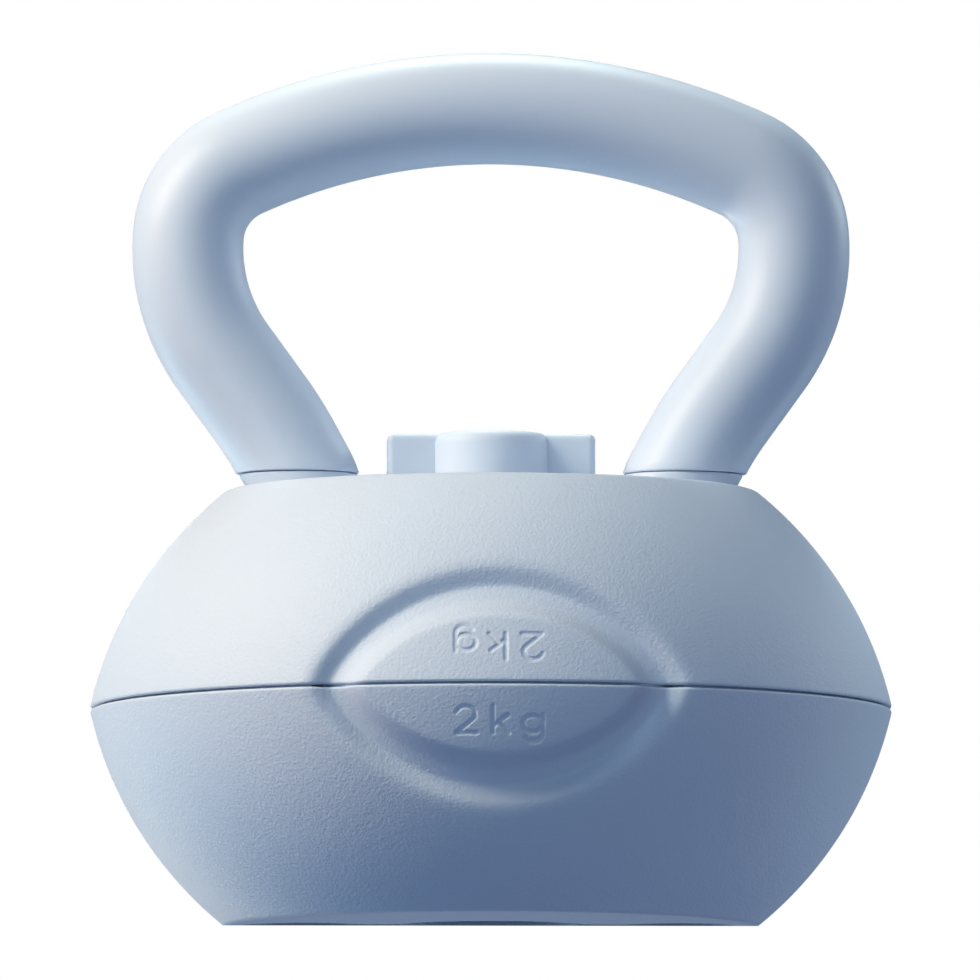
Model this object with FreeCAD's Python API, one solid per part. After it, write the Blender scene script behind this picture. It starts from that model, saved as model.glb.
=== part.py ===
"""Clamp-together kettlebell: two filled bowls, a bent tube handle, and a wing nut on a central rod.

Millimetres. +Z is up, -Y is the front. The origin is the centre of the base plane.
The two weight halves are the same moulding: the upper one is the lower one turned over
about a front-to-back axis at the seam. Each piece is one node, written to parts/NODE.step.
"""
import FreeCAD
import Part
import math
import os

from FreeCAD import Vector

# ---------------------------------------------------------------- weight halves
half_height = 54.4            # one bowl, from its flat end to the seam
seam_radius = 100.25          # widest point, at the seam
side_arc_radius = 96.0        # bulge of the side
end_rim = 3.3                 # flat end left outside the pocket lobes, before its edge is rounded
end_edge_radius = 3.5         # rounding between side and flat end
rim_edge_radius = 0.5         # rounding at the seam
shell_wall = 4.0
end_wall = 4.0
lid_thickness = 5.0
lid_ledge = 2.5               # width of the step that the lid sits on
lid_proud = 0.3               # lids stand above the rims and keep the shadow gap at the seam
lid_clearance = 0.15
fill_gap = 0.2                # shrinkage of the cured fill away from its shell

# ---------------------------------------------------------------- three-lobed end pocket
pocket_depth = 18.0
pocket_centre_radius = 25.0
pocket_lobe_offset = 46.8
pocket_lobe_radius = 16.2
pocket_neck_half_width = 10.5
pocket_corner_radius = 5.0
pocket_wall = 3.5
pocket_clearance = 0.3        # between the pocket and the plates that sit in it
plate_chamfer = 0.8           # on the outer rim of the clamp plate and of the handle base

# ---------------------------------------------------------------- eye-shaped badge ring, front and back
badge_half_height = 29.2      # outer edge of the groove, up and down
field_half_height = 17.3      # edge of the raised field inside the groove
oval_stretch = 17.0           # every oval is this much wider than high, on each side
oval_point_power = 1.36       # 2 would make ellipses; less draws their ends out to blunt points
oval_points = 12              # points of the spline along a quarter of an oval
groove_depth = 4.2
groove_wall_slope = 0.95      # sideways run of a groove wall for each unit of depth
groove_mouth_wall = 2.4       # shell left behind the groove where the lid comes close

# ---------------------------------------------------------------- lid screws and locating pegs
screw_circle_radius = 62.0
screw_count = 4
screw_shank_radius = 2.0
screw_head_radius = 4.0
screw_head_height = 2.2
screw_length = 17.0
screw_tip_length = 2.0
screw_slot_width = 0.9
screw_slot_depth = 1.5
screw_sink = 0.2              # heads sit this far under the lid face
screw_post_radius = 5.5
screw_hole_clearance = 0.05
screw_hole_extra_depth = 1.0
peg_margin = 19.3             # from the peg's centre to the edge of the lid
peg_radius = 6.0
peg_height = 3.0
peg_clearance = 0.3

# ---------------------------------------------------------------- clamp rod and bottom plate
rod_radius = 6.0              # M12
rod_end_gap = 1.3             # from the rod's top to the top of the insert
rod_reach = 1.0               # rod below its nut
rod_tip_chamfer = 1.0
rod_hole_clearance = 0.5
tube_wall = 3.0               # moulded tube round the rod, inside each bowl
tube_clearance = 1.0
clamp_plate_recess = 6.0      # from the base plane up to the plate
clamp_counterbore_radius = 13.5
clamp_counterbore_depth = 5.0
rod_washer_radius = 12.0
rod_washer_thickness = 2.0
rod_nut_flats = 18.0
rod_nut_height = 6.0
thread_clearance = 0.05

# ---------------------------------------------------------------- handle
grip_radius = 13.9
core_radius = 10.0
core_wall = 2.0
cover_gap = 0.05              # between a core or insert and the piece moulded round it
crown_level = 205.1           # centreline at the middle of the handle
crown_arc_radius = 152.0
crown_half_angle = 24.5       # degrees of the crown arc each side of the middle
corner_arc_radius = 21.8
corner_end_heading = 86.3     # degrees below level at the end of the corner arc
side_bend_radius = 46.8
leg_heading = 125.9           # degrees below level along the straight leg
ankle_arc_radius = 88.0       # slight outward bend below the leg
ankle_heading = 118.5         # degrees below level where the leg goes into its collar
foot_arc_radius = 16.0
foot_offset = 45.5            # the legs end upright, this far from the middle
foot_sink = 3.6               # the legs are upright from this far below the top of the base
grip_end_rise = 4.6           # the grip is cut level, this far above the top face

base_recess = 0.4             # from the top face down to the handle base
socket_depth = 7.5
socket_clearance = 0.3
stud_disc_thickness = 3.0
stud_radius = 4.0             # M8
stud_hole_clearance = 0.25
nut_well_depth = 6.5
nut_well_radius = 9.2
handle_washer_radius = 8.0
handle_washer_thickness = 1.6
handle_nut_flats = 13.0
handle_nut_height = 4.0
stud_reach = 0.5              # stud tip beyond the nut

collar_radius = 13.4
collar_gap = 0.2              # fine line between collar and grip

# ---------------------------------------------------------------- wing nut and washers
insert_wall = 2.15            # brass round the thread
insert_groove_depth = 0.6
insert_groove_width = 2.0
insert_cap_gap = 0.6
spigot_wall = 2.3             # moulding round the insert, through the washer
spigot_lip = 1.0              # overhang that keeps the washer
spigot_lip_height = 0.8
pressure_washer_clearance = 0.4
pressure_washer_radius = 14.8
pressure_washer_thickness = 1.6
washer_gap = 0.1              # free play above and below the captive washer
friction_washer_clearance = 0.7
friction_washer_radius = 15.2
friction_washer_thickness = 1.4
nut_seat_clearance = 0.4
nut_seat_depth = 3.6          # recess in the handle base that keeps the washers centred
boss_radius = 14.75
boss_rise = 14.7              # top of the boss above the top face
boss_edge_radius = 2.8
wing_half_length = 26.0
wing_thickness = 9.0
wing_clearance = 1.0          # under the wings
wing_rise = 14.4
wing_edge_radius = 1.6
cap_margin = 2.3              # cap beyond the insert, all round
cap_thickness = 1.6
cap_clearance = 0.1
cap_chamfer = 0.3

# ---------------------------------------------------------------- sizes worked out from the above
total_height = 2 * half_height
rim_level = half_height - lid_proud
ledge_level = half_height - lid_thickness
end_radius = pocket_lobe_offset + pocket_lobe_radius + end_rim
tube_bore = rod_radius + tube_clearance

base_bottom = total_height - pocket_depth
base_top = total_height - base_recess
socket_floor = base_top - socket_depth
core_bottom = socket_floor + stud_disc_thickness
foot_level = base_top - foot_sink
nut_well_top = base_bottom + nut_well_depth
grip_end_level = total_height + grip_end_rise

clamp_seat = clamp_plate_recess + clamp_counterbore_depth
rod_nut_top = clamp_seat - rod_washer_thickness
rod_nut_bottom = rod_nut_top - rod_nut_height
rod_bottom = rod_nut_bottom - rod_reach

nut_seat_radius = friction_washer_radius + nut_seat_clearance
nut_seat_level = base_top - nut_seat_depth
pressure_washer_level = nut_seat_level + friction_washer_thickness + washer_gap
boss_bottom = pressure_washer_level + pressure_washer_thickness + washer_gap
spigot_bottom = pressure_washer_level - washer_gap - spigot_lip_height
boss_top = total_height + boss_rise
thread_bore = rod_radius + thread_clearance
insert_radius = thread_bore + insert_wall
insert_top = boss_top - cap_thickness - insert_cap_gap
rod_top = insert_top - rod_end_gap
spigot_radius = insert_radius + spigot_wall
spigot_lip_radius = spigot_radius + spigot_lip
pressure_washer_bore = spigot_radius + pressure_washer_clearance
friction_washer_bore = spigot_lip_radius + friction_washer_clearance
cap_radius = insert_radius + cap_margin


# ---------------------------------------------------------------- simple solids
def cylinder(radius, low, high, x=0.0, y=0.0):
    """Upright cylinder between two levels."""
    return Part.makeCylinder(radius, high - low, Vector(x, y, low))


def cone(low_radius, high_radius, low, high, x=0.0, y=0.0):
    """Upright cone frustum between two levels."""
    return Part.makeCone(low_radius, high_radius, high - low, Vector(x, y, low))


def box(x_half, y_half, low, high):
    """Upright box centred on the Z axis."""
    return Part.makeBox(2 * x_half, 2 * y_half, high - low, Vector(-x_half, -y_half, low))


def hexagon(flats, low, high, x=0.0):
    """Hexagonal prism, measured across its flats."""
    corner = flats / math.sqrt(3)
    points = []
    for step in range(7):
        turn = math.radians(60 * step)
        points.append(Vector(x + corner * math.cos(turn), corner * math.sin(turn), low))
    return Part.Face(Part.makePolygon(points)).extrude(Vector(0, 0, high - low))


def hex_nut(flats, bore, low, high, x=0.0):
    """Hex nut whose corners are turned off at both ends."""
    middle = (low + high) / 2
    corner = flats / math.sqrt(3)
    blank = cone(flats / 2, flats / 2 + (middle - low) * 1.8, low, middle, x)
    blank = blank.fuse(cone(flats / 2 + (high - middle) * 1.8, flats / 2, middle, high, x))
    rounded = hexagon(flats, low, high, x).common(blank)
    return rounded.cut(cylinder(bore, low, high, x)) if corner > bore else rounded


def turned_over(shape):
    """The same piece of the upper half: turned 180 degrees about a front-to-back axis at the seam."""
    other = shape.copy()
    other.rotate(Vector(0, 0, half_height), Vector(0, 1, 0), 180)
    return other


def mirrored(shape):
    """The left-hand copy of a right-hand piece."""
    return shape.mirror(Vector(0, 0, 0), Vector(1, 0, 0))


# ---------------------------------------------------------------- bowl geometry
def side_arc_centre():
    """Centre (radius, level) of the side arc through the seam edge and the end edge."""
    run = seam_radius - end_radius
    chord = math.hypot(run, half_height)
    reach = math.sqrt(side_arc_radius ** 2 - chord ** 2 / 4)
    radius = (seam_radius + end_radius) / 2 - reach * half_height / chord
    level = half_height / 2 + reach * run / chord
    return radius, level


def side_radius(level, inset=0.0):
    """Radius of the bowl's side at a level, moved inwards square to the surface by inset."""
    centre_radius, centre_level = side_arc_centre()
    return centre_radius + math.sqrt((side_arc_radius - inset) ** 2 - (level - centre_level) ** 2)


def bowl_solid(low, high, inset=0.0):
    """Solid of revolution under the side arc, between two levels."""
    middle = (low + high) / 2
    bottom_edge = Vector(side_radius(low, inset), 0, low)
    top_edge = Vector(side_radius(high, inset), 0, high)
    bulge = Vector(side_radius(middle, inset), 0, middle)
    outline = Part.Wire([
        Part.makeLine(Vector(0, 0, low), bottom_edge),
        Part.Arc(bottom_edge, bulge, top_edge).toShape(),
        Part.makeLine(top_edge, Vector(0, 0, high)),
        Part.makeLine(Vector(0, 0, high), Vector(0, 0, low)),
    ])
    return Part.Face(outline).revolve(Vector(0, 0, 0), Vector(0, 0, 1), 360)


def level_edges(shape, level):
    """Edges of a solid that lie level at one height."""
    found = []
    for edge in shape.Edges:
        bounds = edge.BoundBox
        if abs(bounds.ZMin - level) < 1e-4 and abs(bounds.ZMax - level) < 1e-4:
            found.append(edge)
    return found


def bowl_outside():
    """Outer form of one bowl, with the end edge and the rim rounded."""
    body = bowl_solid(0, rim_level)
    body = body.makeFillet(end_edge_radius, level_edges(body, 0))
    return body.makeFillet(rim_edge_radius, level_edges(body, rim_level))


def lobed_prism(low, high, grow=0.0):
    """Three-lobed prism: a centre circle, two side circles and a neck, with hollow corners rounded.

    grow moves the whole outline outwards (or inwards, when negative) by the same distance.
    """
    corner = pocket_corner_radius - grow
    centre = pocket_centre_radius + grow
    lobe = pocket_lobe_radius + grow
    neck = pocket_neck_half_width + grow
    level = neck + corner
    inner = math.sqrt((centre + corner) ** 2 - level ** 2)
    outer = pocket_lobe_offset - math.sqrt((lobe + corner) ** 2 - level ** 2)
    inner_turn = math.atan2(level, inner)
    outer_turn = math.atan2(level, outer - pocket_lobe_offset)

    def arc(x, y, radius, start, end):
        turns = (start, (start + end) / 2, end)
        return [(x + radius * math.cos(t), y + radius * math.sin(t)) for t in turns]

    right_angle = math.pi / 2
    pieces = [
        arc(0, 0, centre, right_angle, inner_turn),
        arc(inner, level, corner, inner_turn + math.pi, 3 * right_angle),
        [(inner, neck), (outer, neck)],
        arc(outer, level, corner, 3 * right_angle, outer_turn + math.pi),
        arc(pocket_lobe_offset, 0, lobe, outer_turn, 0),
    ]
    edges = []
    for side in (1, -1):
        for face in (1, -1):
            for piece in pieces:
                points = [Vector(side * x, face * y, low) for x, y in piece]
                if len(points) == 3:
                    edges.append(Part.Arc(*points).toShape())
                else:
                    edges.append(Part.makeLine(*points))
    outline = Part.Wire(Part.__sortEdges__(edges))
    return Part.Face(outline).extrude(Vector(0, 0, high - low))


def oval_wire(half_height_, distance):
    """Closed outline with (x / half width)^2 + (z / half height)^power = 1, on the plane y = -distance.

    The turn runs evenly round the oval: x follows its cosine, z its sine to the power 2 / power.
    """
    half_width = half_height_ + oval_stretch
    wire = []
    for front, side in ((1, 1), (-1, 1), (-1, -1), (1, -1)):
        quarter = []
        for step in range(oval_points + 1):
            turn = math.pi / 2 * step / oval_points
            across = front * half_width * math.cos(turn)
            up = side * half_height_ * math.sin(turn) ** (2 / oval_point_power)
            quarter.append(Vector(across, -distance, half_height + up))
        if front * side < 0:
            quarter.reverse()
        curve = Part.BSplineCurve()
        curve.interpolate(quarter)
        wire.append(curve.toShape())
    return Part.Wire(Part.__sortEdges__(wire))


def oval_plug(half_height_, surface, slope):
    """Tapered oval plug along Y: the stated oval at the surface distance, changing by slope with depth."""
    wires = []
    for distance in (seam_radius + 2.0, seam_radius - 22.0):
        wires.append(oval_wire(half_height_ + slope * (distance - surface), distance))
    return Part.makeLoft(wires, True, True)


def badge_groove(grow=0.0):
    """The ring groove of the front badge, as the solid to take away. grow widens and deepens it."""
    rim_distance = side_radius(half_height - badge_half_height)
    field_distance = math.sqrt(seam_radius ** 2 - (field_half_height + oval_stretch) ** 2)
    outside = oval_plug(badge_half_height + grow, rim_distance, groove_wall_slope)
    island = oval_plug(field_half_height - grow, field_distance, -groove_wall_slope)
    floor = bowl_solid(end_wall, half_height, groove_depth + grow)
    return outside.cut(island).cut(floor)


def badge_grooves(grow=0.0):
    """The groove on the front and the same one on the back."""
    front = badge_groove(grow)
    back = front.copy()
    back.rotate(Vector(0, 0, 0), Vector(0, 0, 1), 180)
    return [front, back]


def screw_places():
    """Centres of the lid screws, between the pocket lobes."""
    places = []
    for index in range(screw_count):
        turn = 2 * math.pi * (index + 0.5) / screw_count
        places.append((screw_circle_radius * math.cos(turn), screw_circle_radius * math.sin(turn)))
    return places


def cavity(gap=0.0):
    """The room inside one bowl. A gap makes the slightly smaller block that fills it."""
    room = bowl_solid(end_wall + gap, ledge_level - gap, shell_wall + gap)
    taken = badge_grooves(shell_wall + gap)
    taken.append(lobed_prism(0, pocket_depth + end_wall + gap, pocket_wall + gap))
    taken.append(cylinder(tube_bore + tube_wall + gap, 0, half_height))
    for x, y in screw_places():
        taken.append(cylinder(screw_post_radius + gap, 0, half_height, x, y))
    return room.cut(taken)


# ---------------------------------------------------------------- pieces of one weight half
def lid_radius():
    """Radius of the bowl's mouth, where the lid sits."""
    return side_radius(ledge_level, shell_wall) + lid_ledge


def lid_disc(gap=0.0):
    """Disc that fills the mouth of the bowl, kept clear of the badge grooves. A gap makes it smaller."""
    disc = cylinder(lid_radius() - gap, ledge_level, half_height)
    return disc.cut(badge_grooves(groove_mouth_wall + gap))


def make_shell():
    """Moulded bowl: outside, end pocket, rod tube, screw posts and the step for the lid."""
    taken = badge_grooves()
    taken.append(cavity())
    taken.append(lid_disc())
    taken.append(lobed_prism(0, pocket_depth))
    taken.append(cylinder(tube_bore, 0, half_height))
    for x, y in screw_places():
        bottom = half_height - screw_sink - screw_length - screw_hole_extra_depth
        taken.append(cylinder(screw_shank_radius + screw_hole_clearance, bottom, half_height, x, y))
    return bowl_outside().cut(taken)


def make_fill():
    """Cured block of sand and cement that gives the bowl its weight."""
    return cavity(fill_gap)


def make_lid():
    """Flat disc that closes the bowl: rod hole, sunk screw holes, one locating peg and one socket."""
    peg_offset = lid_radius() - peg_margin
    peg = cylinder(peg_radius, ledge_level, half_height + peg_height, peg_offset)
    lid = lid_disc(lid_clearance).fuse(peg)
    taken = [cylinder(tube_bore, ledge_level, half_height)]
    socket_bottom = half_height - peg_height - peg_clearance
    taken.append(cylinder(peg_radius + peg_clearance, socket_bottom, half_height, -peg_offset))
    head_top = half_height - screw_sink
    for x, y in screw_places():
        hole = screw_shank_radius + 4 * screw_hole_clearance
        head = screw_head_radius + screw_hole_clearance
        taken.append(cylinder(hole, ledge_level, half_height, x, y))
        taken.append(cone(hole, head, head_top - screw_head_height, head_top, x, y))
        taken.append(cylinder(head, head_top, half_height, x, y))
    return lid.cut(taken).removeSplitter()


def make_screws():
    """The lid screws: sunk heads with a cross slot, pointed tips."""
    top = half_height - screw_sink
    neck = top - screw_head_height
    tip = top - screw_length
    screws = []
    screw = cone(screw_shank_radius, screw_head_radius, neck, top)
    screw = screw.fuse(cylinder(screw_shank_radius, tip + screw_tip_length, neck))
    screw = screw.fuse(cone(screw_shank_radius / 5, screw_shank_radius, tip, tip + screw_tip_length))
    reach = screw_head_radius * 0.55
    slots = [
        box(reach, screw_slot_width / 2, top - screw_slot_depth, top),
        box(screw_slot_width / 2, reach, top - screw_slot_depth, top),
    ]
    screw = screw.cut(slots)
    for x, y in screw_places():
        copy = screw.copy()
        copy.translate(Vector(x, y, 0))
        screws.append(copy)
    return Part.makeCompound(screws)


# ---------------------------------------------------------------- clamp pieces
def make_clamp_plate():
    """Three-lobed plate in the bottom pocket that the rod pulls up against."""
    plate = lobed_prism(clamp_plate_recess, pocket_depth, -pocket_clearance)
    plate = plate.makeChamfer(plate_chamfer, level_edges(plate, clamp_plate_recess))
    hole = cylinder(rod_radius + rod_hole_clearance, 0, pocket_depth)
    well = cylinder(clamp_counterbore_radius, 0, clamp_seat)
    return plate.cut([hole, well])


def make_rod():
    """Threaded clamp rod, as a plain cylinder with chamfered tips."""
    shank = cylinder(rod_radius, rod_bottom + rod_tip_chamfer, rod_top - rod_tip_chamfer)
    tip_radius = rod_radius - rod_tip_chamfer
    low_tip = cone(tip_radius, rod_radius, rod_bottom, rod_bottom + rod_tip_chamfer)
    high_tip = cone(rod_radius, tip_radius, rod_top - rod_tip_chamfer, rod_top)
    return shank.fuse([low_tip, high_tip]).removeSplitter()


def make_rod_washer():
    """Steel washer between the bottom plate and the rod nut."""
    ring = cylinder(rod_washer_radius, rod_nut_top, clamp_seat)
    return ring.cut(cylinder(rod_radius + rod_hole_clearance / 2, 0, pocket_depth))


def make_rod_nut():
    """Thin lock nut at the bottom of the rod."""
    return hex_nut(rod_nut_flats, thread_bore, rod_nut_bottom, rod_nut_top)


# ---------------------------------------------------------------- handle path
def heading_vector(degrees):
    """Unit direction in the XZ plane, turned down from level by the given angle."""
    turn = math.radians(degrees)
    return Vector(math.cos(turn), 0, -math.sin(turn))


def outward_vector(degrees):
    """Unit vector square to the heading, on the outside of the handle."""
    turn = math.radians(degrees)
    return Vector(math.sin(turn), 0, math.cos(turn))


def leg_path():
    """The right half of the handle's centreline, from the crown's end down to the foot.

    Returns a list of ("arc", centre, radius, start heading, end heading) and
    ("line", start, end). The lengths of the two straights bring the foot to its place.
    """
    crown_centre = Vector(0, 0, crown_level - crown_arc_radius)
    corner_centre = crown_centre + outward_vector(crown_half_angle) * (crown_arc_radius - corner_arc_radius)
    side_centre = corner_centre + outward_vector(corner_end_heading) * (corner_arc_radius - side_bend_radius)
    leg_start = side_centre + outward_vector(leg_heading) * side_bend_radius
    foot_centre = Vector(foot_offset + foot_arc_radius, 0, foot_level)
    shin_end = foot_centre - outward_vector(ankle_heading) * foot_arc_radius
    ankle_turn = (outward_vector(leg_heading) - outward_vector(ankle_heading)) * ankle_arc_radius
    leg_length, shin_length = straight_lengths(shin_end - leg_start - ankle_turn)
    leg_end = leg_start + heading_vector(leg_heading) * leg_length
    ankle_centre = leg_end + outward_vector(leg_heading) * ankle_arc_radius
    shin_start = shin_end - heading_vector(ankle_heading) * shin_length
    foot_start = Vector(foot_offset, 0, foot_level)
    return [
        ("arc", corner_centre, corner_arc_radius, crown_half_angle, corner_end_heading),
        ("arc", side_centre, side_bend_radius, corner_end_heading, leg_heading),
        ("line", leg_start, leg_end),
        ("arc", ankle_centre, -ankle_arc_radius, leg_heading, ankle_heading),
        ("line", shin_start, shin_end),
        ("arc", foot_centre, -foot_arc_radius, ankle_heading, 90.0),
        ("line", foot_start, Vector(foot_offset, 0, core_bottom)),
    ]


def straight_lengths(gap):
    """Lengths of the straight leg and the straight shin that together span a gap."""
    leg = heading_vector(leg_heading)
    shin = heading_vector(ankle_heading)
    cross = leg.x * shin.z - leg.z * shin.x
    leg_length = (gap.x * shin.z - gap.z * shin.x) / cross
    shin_length = (leg.x * gap.z - leg.z * gap.x) / cross
    return leg_length, shin_length


def rod_on_arc(centre, bend_radius, start, end, radius):
    """Round bar bent about a centre in the XZ plane. A negative bend radius bends it outwards."""
    out = outward_vector(start)
    place = centre + out * bend_radius
    disc = Part.Face(Part.Wire(Part.makeCircle(radius, place, heading_vector(start))))
    return disc.revolve(centre, Vector(0, 1, 0), end - start)


def leg_bar(radius):
    """Solid round bar of the given radius along the right-hand half of the handle, below the crown."""
    pieces = []
    for piece in leg_path():
        if piece[0] == "arc":
            pieces.append(rod_on_arc(*piece[1:], radius))
        else:
            start, end = piece[1:]
            pieces.append(Part.makeCylinder(radius, (end - start).Length, start, end - start))
    return pieces[0].fuse(pieces[1:])


def handle_bar(radius):
    """Solid round bar of the given radius along the whole handle, foot to foot."""
    crown_centre = Vector(0, 0, crown_level - crown_arc_radius)
    crown = rod_on_arc(crown_centre, crown_arc_radius, -crown_half_angle, crown_half_angle, radius)
    leg = leg_bar(radius)
    return crown.fuse([leg, mirrored(leg)]).removeSplitter()


# ---------------------------------------------------------------- handle pieces
def make_core():
    """Bent steel tube that carries the load."""
    return handle_bar(core_radius).cut(handle_bar(core_radius - core_wall))


def make_grip():
    """Smooth moulded cover on the core, cut level above the foot collars."""
    cover = handle_bar(grip_radius).cut(handle_bar(core_radius + cover_gap))
    return cover.cut(box(2 * seam_radius, seam_radius, 0, grip_end_level))


def make_collar():
    """Right-hand foot collar: a sleeve round the foot of the leg that hides its joint with the base."""
    room = box(2 * seam_radius, seam_radius, base_top, grip_end_level - collar_gap)
    sleeve = leg_bar(collar_radius).common(room)
    return sleeve.cut(handle_bar(core_radius + cover_gap))


def make_handle_base():
    """Three-lobed base in the top pocket: leg sockets, nut wells, rod hole and the washer seat."""
    base = lobed_prism(base_bottom, base_top, -pocket_clearance)
    base = base.makeChamfer(plate_chamfer, level_edges(base, base_top))
    taken = [
        cylinder(rod_radius + rod_hole_clearance, base_bottom, base_top),
        cylinder(nut_seat_radius, nut_seat_level, base_top),
        handle_bar(core_radius + socket_clearance),
    ]
    for x in (foot_offset, -foot_offset):
        taken.append(cylinder(core_radius + socket_clearance, socket_floor, core_bottom, x))
        taken.append(cylinder(stud_radius + stud_hole_clearance, base_bottom, base_top, x))
        taken.append(cylinder(nut_well_radius, base_bottom, nut_well_top, x))
    return base.cut(taken)


def make_stud():
    """Right-hand leg end: a disc welded into the tube's end, with a threaded stud below."""
    disc = cylinder(core_radius, socket_floor, core_bottom, foot_offset)
    tip = nut_well_top - handle_washer_thickness - handle_nut_height - stud_reach
    return disc.fuse(cylinder(stud_radius, tip, socket_floor, foot_offset)).removeSplitter()


def make_handle_washers():
    """Steel washers under the handle nuts."""
    rings = []
    for x in (foot_offset, -foot_offset):
        ring = cylinder(handle_washer_radius, nut_well_top - handle_washer_thickness, nut_well_top, x)
        rings.append(ring.cut(cylinder(stud_radius + stud_hole_clearance, 0, base_top, x)))
    return Part.makeCompound(rings)


def make_handle_nuts():
    """Thin nuts that hold the legs to the base, from below."""
    top = nut_well_top - handle_washer_thickness
    nuts = []
    for x in (foot_offset, -foot_offset):
        nuts.append(hex_nut(handle_nut_flats, stud_radius + thread_clearance, top - handle_nut_height, top, x))
    return Part.makeCompound(nuts)


# ---------------------------------------------------------------- wing nut pieces
def make_friction_washer():
    """Soft washer that stays in its seat in the handle base."""
    ring = cylinder(friction_washer_radius, nut_seat_level, nut_seat_level + friction_washer_thickness)
    return ring.cut(cylinder(friction_washer_bore, 0, total_height))


def make_pressure_washer():
    """Steel washer held captive under the wing nut. It rises with the nut and doesn't turn."""
    top = pressure_washer_level + pressure_washer_thickness
    ring = cylinder(pressure_washer_radius, pressure_washer_level, top)
    return ring.cut(cylinder(pressure_washer_bore, 0, total_height))


def make_wing_nut():
    """Moulded wing nut: boss, two flat wings and the lipped spigot that keeps the washer."""
    boss = cylinder(boss_radius, boss_bottom, boss_top)
    boss = boss.makeFillet(boss_edge_radius, level_edges(boss, boss_top))
    wings = box(wing_half_length, wing_thickness / 2, total_height + wing_clearance, total_height + wing_rise)
    wings = wings.makeFillet(wing_edge_radius, wings.Edges)
    spigot = cylinder(spigot_radius, spigot_bottom, boss_bottom)
    lip = cylinder(spigot_lip_radius, spigot_bottom, spigot_bottom + spigot_lip_height)
    body = boss.fuse([wings, spigot, lip]).removeSplitter()
    bore = cylinder(insert_radius + cover_gap, 0, boss_top)
    cap_room = cylinder(cap_radius + cap_clearance, boss_top - cap_thickness, boss_top)
    return body.cut([bore, cap_room])


def make_insert():
    """Threaded brass insert of the wing nut, with two ring grooves that lock it in the moulding."""
    insert = cylinder(insert_radius, spigot_bottom, insert_top)
    taken = [cylinder(thread_bore, spigot_bottom, insert_top)]
    for share in (1 / 3, 2 / 3):
        low = spigot_bottom + share * (insert_top - spigot_bottom) - insert_groove_width / 2
        groove = cylinder(insert_radius + 1.0, low, low + insert_groove_width)
        taken.append(groove.cut(cylinder(insert_radius - insert_groove_depth, low, low + insert_groove_width)))
    return insert.cut(taken)


def make_cap():
    """Thin disc that closes the top of the wing nut."""
    cap = cylinder(cap_radius, boss_top - cap_thickness, boss_top)
    return cap.makeChamfer(cap_chamfer, level_edges(cap, boss_top))


# ---------------------------------------------------------------- all the nodes
def build_nodes():
    """Every piece by its node name."""
    nodes = {}
    half = {
        "shell": make_shell(),
        "fill": make_fill(),
        "lid": make_lid(),
        "lid_screws": make_screws(),
    }
    for name, shape in half.items():
        nodes["lower_" + name] = shape
        nodes["upper_" + name] = turned_over(shape)
    nodes["clamp_plate"] = make_clamp_plate()
    nodes["clamp_rod"] = make_rod()
    nodes["rod_washer"] = make_rod_washer()
    nodes["rod_nut"] = make_rod_nut()
    nodes["handle_base"] = make_handle_base()
    nodes["handle_core"] = make_core()
    nodes["handle_grip"] = make_grip()
    collar = make_collar()
    nodes["foot_collar_right"] = collar
    nodes["foot_collar_left"] = mirrored(collar)
    stud = make_stud()
    nodes["foot_stud_right"] = stud
    nodes["foot_stud_left"] = mirrored(stud)
    nodes["handle_washers"] = make_handle_washers()
    nodes["handle_nuts"] = make_handle_nuts()
    nodes["friction_washer"] = make_friction_washer()
    nodes["pressure_washer"] = make_pressure_washer()
    nodes["wing_nut"] = make_wing_nut()
    nodes["wing_nut_insert"] = make_insert()
    nodes["wing_nut_cap"] = make_cap()
    return nodes


def main():
    """Write one STEP file per node."""
    os.makedirs("parts", exist_ok=True)
    for name, shape in build_nodes().items():
        solids = shape.Solids
        volume = sum(solid.Volume for solid in solids) / 1000
        print(f"{name:20s} {len(solids)} solid(s) {volume:9.2f} cm3 valid={shape.isValid()}")
        shape.exportStep(os.path.join("parts", name + ".step"))


main()
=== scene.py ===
# %% [markdown]
# # A clamp-together kettlebell
#
# The real object is two filled plastic bowls set rim to rim, a bent handle and a wing nut that
# pulls the lot together on a threaded rod. The CAD model already holds every solid at its true
# size. This script keeps those solids as the frame, swaps the ones that show for finer surfaces,
# gives every piece its finish, and lights the whole with soft lamps on a white stage.
#
# A scene can be built by hand, by importing meshes, or by writing each shape as a formula. The
# formulas are used here, because a size then stays a number with a name.

# %% Load the frame and note its size
import math

import bpy
import numpy as np
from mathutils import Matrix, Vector


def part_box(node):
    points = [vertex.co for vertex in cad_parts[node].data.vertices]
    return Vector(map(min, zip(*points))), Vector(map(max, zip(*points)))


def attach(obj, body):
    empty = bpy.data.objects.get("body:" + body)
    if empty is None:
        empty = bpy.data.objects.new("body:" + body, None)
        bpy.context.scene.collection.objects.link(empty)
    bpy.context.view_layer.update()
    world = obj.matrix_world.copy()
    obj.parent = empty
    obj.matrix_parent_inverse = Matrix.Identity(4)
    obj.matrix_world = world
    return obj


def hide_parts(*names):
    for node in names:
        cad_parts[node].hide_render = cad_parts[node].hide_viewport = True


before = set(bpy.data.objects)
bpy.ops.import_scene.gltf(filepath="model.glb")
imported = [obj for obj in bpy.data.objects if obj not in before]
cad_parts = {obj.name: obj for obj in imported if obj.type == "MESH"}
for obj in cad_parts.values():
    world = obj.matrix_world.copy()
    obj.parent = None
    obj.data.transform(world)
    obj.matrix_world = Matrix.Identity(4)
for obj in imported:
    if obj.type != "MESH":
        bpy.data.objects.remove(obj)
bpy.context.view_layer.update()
mm = 0.001

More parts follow.
